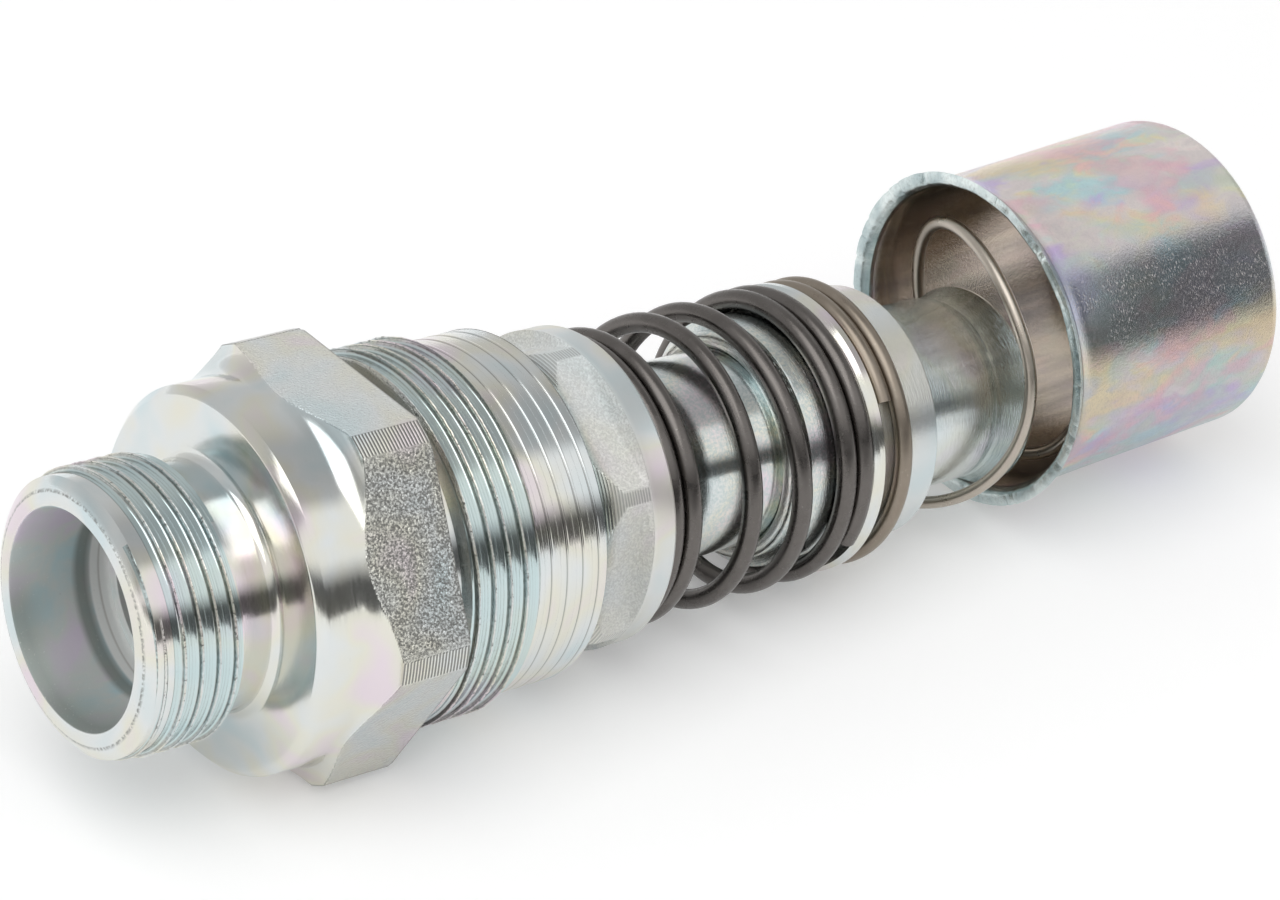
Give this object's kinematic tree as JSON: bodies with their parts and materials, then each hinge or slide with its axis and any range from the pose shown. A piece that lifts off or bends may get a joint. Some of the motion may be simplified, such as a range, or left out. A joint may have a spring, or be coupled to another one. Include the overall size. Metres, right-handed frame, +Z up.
{
  "type": "hydraulic multi-coupler",
  "caption": "Hydraulic multi-coupler cartridge: threaded hexagon port fitting, sprung valve sleeve with a shut-off poppet on a flow tube, and a loose drawn cup with a light spring.",
  "frame": {"origin": "centre of the port face, at the mouth of the cone that the tube fitting seals on", "axes": "+X along the flow axis from the port to the nose, +Z up with the hexagon lying on a flat, +Y away from the pictured side"},
  "size_m": [0.1495, 0.046, 0.0459],
  "materials": {
    "plated_steel": "bright zinc plating on turned steel",
    "spring_steel": "dark oiled spring wire",
    "ring_steel": "drawn wire, satin",
    "passivated_steel": "iridescent passivation on drawn sheet",
    "seal_rubber": "satin",
    "backup_plastic": "matte"
  },
  "bodies": {
    "fitting": {"port_body": "plated_steel", "guide_nut": "plated_steel", "nut_seal": "seal_rubber", "nut_backup_ring": "backup_plastic", "stop_ring": "spring_steel", "main_spring": "spring_steel"},
    "sleeve": {"valve_sleeve": "plated_steel", "sleeve_seal": "seal_rubber", "sleeve_backup_ring": "backup_plastic", "face_seal": "seal_rubber", "spring_washer": "plated_steel", "snap_ring": "ring_steel", "valve_guide": "plated_steel", "guide_circlip": "spring_steel", "poppet_spring": "ring_steel", "drawn_cup": "passivated_steel", "cup_spring": "ring_steel"},
    "valve": {"poppet": "plated_steel", "poppet_seal": "seal_rubber"}
  },
  "joints": [
    {"name": "sleeve_slide", "type": "slide", "parent": "fitting", "child": "sleeve", "axis": [1, 0, 0], "range_m": [-0.008, 0], "stiffness_N_per_m": 2400, "springref_m": 0.004, "deforming": ["main_spring"]},
    {"name": "poppet_slide", "type": "slide", "parent": "sleeve", "child": "valve", "axis": [1, 0, 0], "range_m": [-0.003, 0], "stiffness_N_per_m": 1200, "springref_m": 0.002, "deforming": ["poppet_spring"]}
  ]
}
